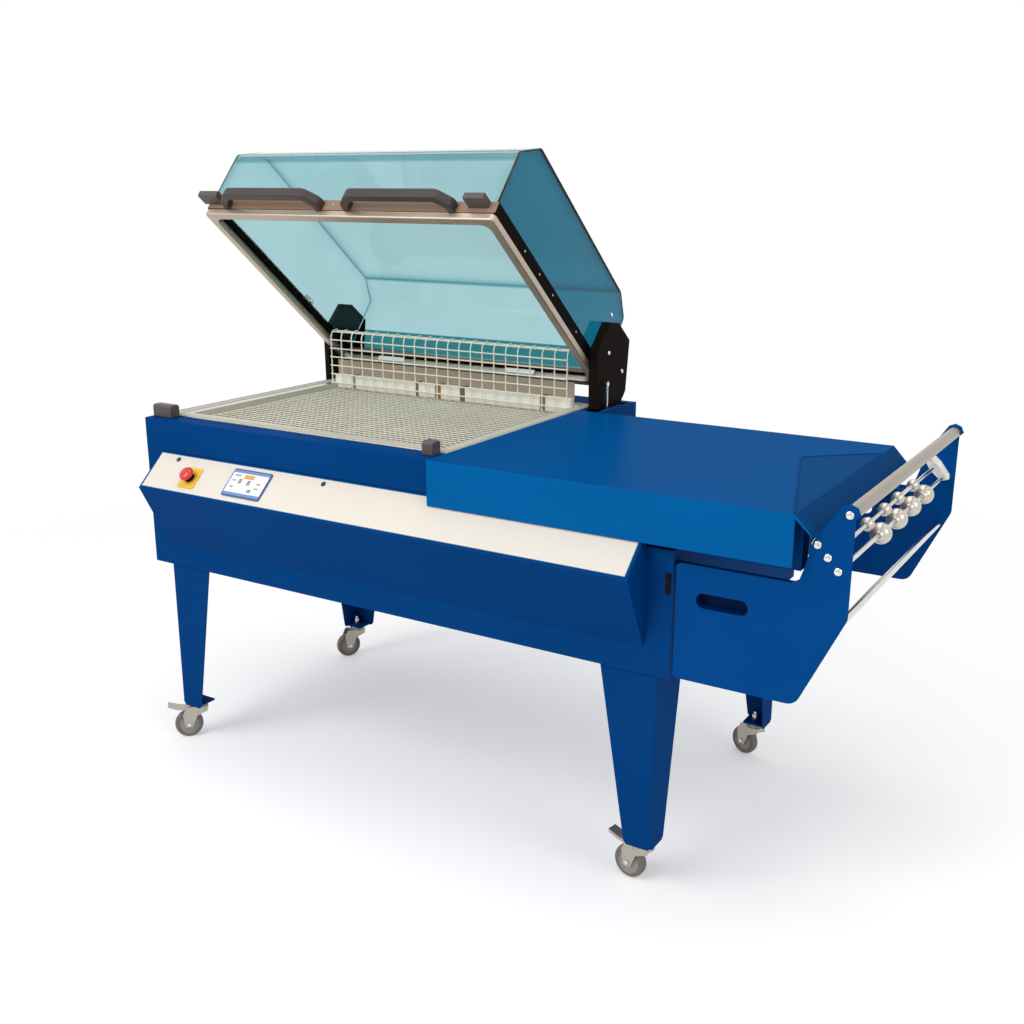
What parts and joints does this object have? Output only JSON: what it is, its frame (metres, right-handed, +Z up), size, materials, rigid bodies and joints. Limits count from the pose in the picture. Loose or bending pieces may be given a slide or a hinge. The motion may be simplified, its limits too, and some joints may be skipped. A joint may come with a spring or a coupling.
{
  "type": "shrink packaging machine",
  "caption": "Free-standing chamber shrink wrapping machine with a raised tinted hood, heated mesh chamber, sloped console, packing table, film carriage with rollers, and casters.",
  "frame": {"origin": "on the floor under the middle of the machine's box, with the hood open", "axes": "+X from the chamber to the film carriage, +Y from the operator to the back, +Z up"},
  "size_m": [1.961, 1.0578, 1.6504],
  "materials": {
    "blue_paint": "powder coat",
    "dark_paint": "satin",
    "fascia_silver": "satin",
    "screen_plastic": "gloss",
    "yellow_plastic": "matte",
    "red_plastic": "gloss",
    "zinc_steel": "zinc plated",
    "caster_tread": "matte",
    "chamber_steel": "satin",
    "seal_silicone": "matte",
    "mesh_wire": "satin",
    "white_plastic": "matte",
    "guard_steel": "satin",
    "post_plastic": "matte",
    "seal_bar_steel": "satin",
    "tinted_acrylic": "gloss",
    "bright_steel": "polished",
    "roller_steel": "satin",
    "pearl_plastic": "pearl",
    "inner_steel": "galvanised"
  },
  "bodies": {
    "machine": {"cabinet": "blue_paint", "upper_front_panel": "blue_paint", "console": "blue_paint", "console_fascia": "fascia_silver", "touch_screen": "screen_plastic", "stop_button_base": "yellow_plastic", "leg_front_left": "blue_paint", "leg_front_right": "blue_paint", "leg_back_left": "blue_paint", "leg_back_right": "blue_paint", "caster_mounts": "zinc_steel", "chamber_well": "chamber_steel", "seal_pad": "seal_silicone", "mesh_tray": "mesh_wire", "insulating_blocks": "white_plastic", "wire_guard": "guard_steel", "catch_posts": "post_plastic", "hinge_bearings": "dark_paint", "strut_cylinder": "dark_paint", "packing_table": "blue_paint", "table_rails": "blue_paint", "carriage_guides": "inner_steel", "fan_motor": "inner_steel", "heater_coil": "inner_steel", "control_box": "inner_steel"},
    "hood": {"hood_frame": "dark_paint", "hood_seal_bar": "seal_bar_steel", "hood_cover": "tinted_acrylic", "hood_handle_left": "dark_paint", "hood_handle_right": "dark_paint", "hood_catches": "zinc_steel", "hinge_bracket_left": "dark_paint", "hinge_bracket_right": "dark_paint", "hinge_pins": "bright_steel"},
    "strut": {"strut_rod": "bright_steel"},
    "stop_button": {"stop_button": "red_plastic"},
    "carriage": {"carriage_plate_front": "blue_paint", "carriage_plate_back": "blue_paint", "carriage_bolts": "bright_steel", "carriage_tubes": "inner_steel", "film_combs": "white_plastic", "tie_rod": "bright_steel"},
    "top_roller": {"top_roller": "roller_steel"},
    "upper_shaft": {"upper_shaft": "bright_steel", "small_ball_wheels": "pearl_plastic"},
    "lower_shaft": {"lower_shaft": "bright_steel", "large_ball_wheels": "pearl_plastic"},
    "plain_rod": {"plain_rod": "bright_steel"},
    "carriage_lock": {"carriage_lock": "blue_paint"},
    "fan_impeller": {"fan_impeller": "inner_steel"},
    "caster_fork_front_left": {"caster_fork_front_left": "zinc_steel"},
    "caster_wheel_front_left": {"caster_wheel_front_left": "caster_tread"},
    "brake_pedal_front_left": {"brake_pedal_front_left": "zinc_steel"},
    "caster_fork_front_right": {"caster_fork_front_right": "zinc_steel"},
    "caster_wheel_front_right": {"caster_wheel_front_right": "caster_tread"},
    "brake_pedal_front_right": {"brake_pedal_front_right": "zinc_steel"},
    "caster_fork_back_left": {"caster_fork_back_left": "zinc_steel"},
    "caster_wheel_back_left": {"caster_wheel_back_left": "caster_tread"},
    "caster_fork_back_right": {"caster_fork_back_right": "zinc_steel"},
    "caster_wheel_back_right": {"caster_wheel_back_right": "caster_tread"}
  },
  "joints": [
    {"name": "hood_hinge", "type": "hinge", "parent": "machine", "child": "hood", "pos_m": [-0.4805, 0.44316, 0.96], "axis": [1, 0, 0], "range_deg": [0, 39.9]},
    {"name": "strut_slide", "type": "slide", "parent": "machine", "child": "strut", "axis": [0, 0, 1], "range_m": [-0.078, 0]},
    {"name": "swivel_front_left", "type": "hinge", "parent": "machine", "child": "caster_fork_front_left", "pos_m": [-0.8945, -0.39684, 0.095], "axis": [0, 0, 1], "continuous": true},
    {"name": "wheel_front_left", "type": "hinge", "parent": "caster_fork_front_left", "child": "caster_wheel_front_left", "pos_m": [-0.91701, -0.42098, 0.04], "axis": [0.7314, -0.682, 0], "continuous": true},
    {"name": "brake_front_left", "type": "hinge", "parent": "caster_fork_front_left", "child": "brake_pedal_front_left", "pos_m": [-0.91632, -0.42025, 0.087], "axis": [0.7314, -0.682, 0], "range_deg": [0, 12]},
    {"name": "swivel_front_right", "type": "hinge", "parent": "machine", "child": "caster_fork_front_right", "pos_m": [0.5365, -0.39684, 0.095], "axis": [0, 0, 1], "continuous": true},
    {"name": "wheel_front_right", "type": "hinge", "parent": "caster_fork_front_right", "child": "caster_wheel_front_right", "pos_m": [0.50391, -0.39168, 0.04], "axis": [-0.1564, -0.9877, 0], "continuous": true},
    {"name": "brake_front_right", "type": "hinge", "parent": "caster_fork_front_right", "child": "brake_pedal_front_right", "pos_m": [0.50489, -0.39184, 0.087], "axis": [-0.1564, -0.9877, 0], "range_deg": [0, 12]},
    {"name": "swivel_back_left", "type": "hinge", "parent": "machine", "child": "caster_fork_back_left", "pos_m": [-0.8945, 0.33016, 0.095], "axis": [0, 0, 1], "continuous": true},
    {"name": "wheel_back_left", "type": "hinge", "parent": "caster_fork_back_left", "child": "caster_wheel_back_left", "pos_m": [-0.9115, 0.30187, 0.04], "axis": [0.8572, -0.515, 0], "continuous": true},
    {"name": "swivel_back_right", "type": "hinge", "parent": "machine", "child": "caster_fork_back_right", "pos_m": [0.5365, 0.33016, 0.095], "axis": [0, 0, 1], "continuous": true},
    {"name": "wheel_back_right", "type": "hinge", "parent": "caster_fork_back_right", "child": "caster_wheel_back_right", "pos_m": [0.50569, 0.34198, 0.04], "axis": [-0.3584, -0.9336, 0], "continuous": true},
    {"name": "stop_press", "type": "slide", "parent": "machine", "child": "stop_button", "axis": [0, 0.6782, -0.7349], "range_m": [0, 0.005]},
    {"name": "carriage_slide", "type": "slide", "parent": "machine", "child": "carriage", "axis": [1, 0, 0], "range_m": [0, 0.15]},
    {"name": "lock_turn", "type": "hinge", "parent": "machine", "child": "carriage_lock", "pos_m": [0.5915, -0.43684, 0.772], "axis": [0, 1, 0], "range_deg": [0, 90]},
    {"name": "fan_spin", "type": "hinge", "parent": "machine", "child": "fan_impeller", "pos_m": [-0.4755, -0.03684, 0.7], "axis": [0, 0, 1], "continuous": true},
    {"name": "top_roller_spin", "type": "hinge", "parent": "carriage", "child": "top_roller", "pos_m": [0.9585, 0.01316, 0.955], "axis": [0, 1, 0], "continuous": true},
    {"name": "upper_shaft_spin", "type": "hinge", "parent": "carriage", "child": "upper_shaft", "pos_m": [0.9225, 0.01316, 0.864], "axis": [0, 1, 0], "continuous": true},
    {"name": "lower_shaft_spin", "type": "hinge", "parent": "carriage", "child": "lower_shaft", "pos_m": [0.9445, 0.01316, 0.839], "axis": [0, 1, 0], "continuous": true},
    {"name": "plain_rod_spin", "type": "hinge", "parent": "carriage", "child": "plain_rod", "pos_m": [0.9005, 0.01316, 0.887], "axis": [0, 1, 0], "continuous": true}
  ],
  "couplings": [
    {"joint": "strut_slide", "follows": "hood_hinge", "m_per_rad": -0.10874}
  ]
}
